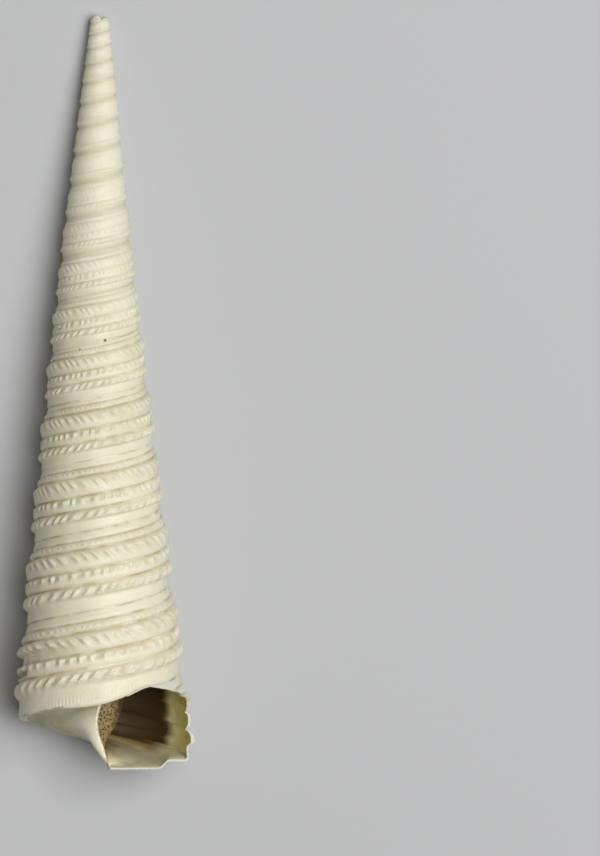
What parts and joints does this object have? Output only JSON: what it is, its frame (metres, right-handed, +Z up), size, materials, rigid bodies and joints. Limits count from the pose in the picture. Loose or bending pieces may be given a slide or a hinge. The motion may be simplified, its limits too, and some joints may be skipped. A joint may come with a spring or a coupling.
{
  "type": "turritella fossil",
  "caption": "Long, slender spiral shell, fossilised and lying on its side, with beaded spiral cords, a chipped thin lip and an open, hollow mouth.",
  "frame": {"origin": "middle of the bounding box's bottom face, on the surface that the shell lies on", "axes": "+Z up, with the mouth facing up. The long axis lies along Y, with the tip at +Y and the mouth at -Y on the +X side"},
  "size_m": [0.0122, 0.0502, 0.0112],
  "materials": {
    "shell": "chalky matte fossil shell, cream with grey and brown stains"
  },
  "bodies": {
    "root": {"shell": "shell"}
  },
  "joints": []
}
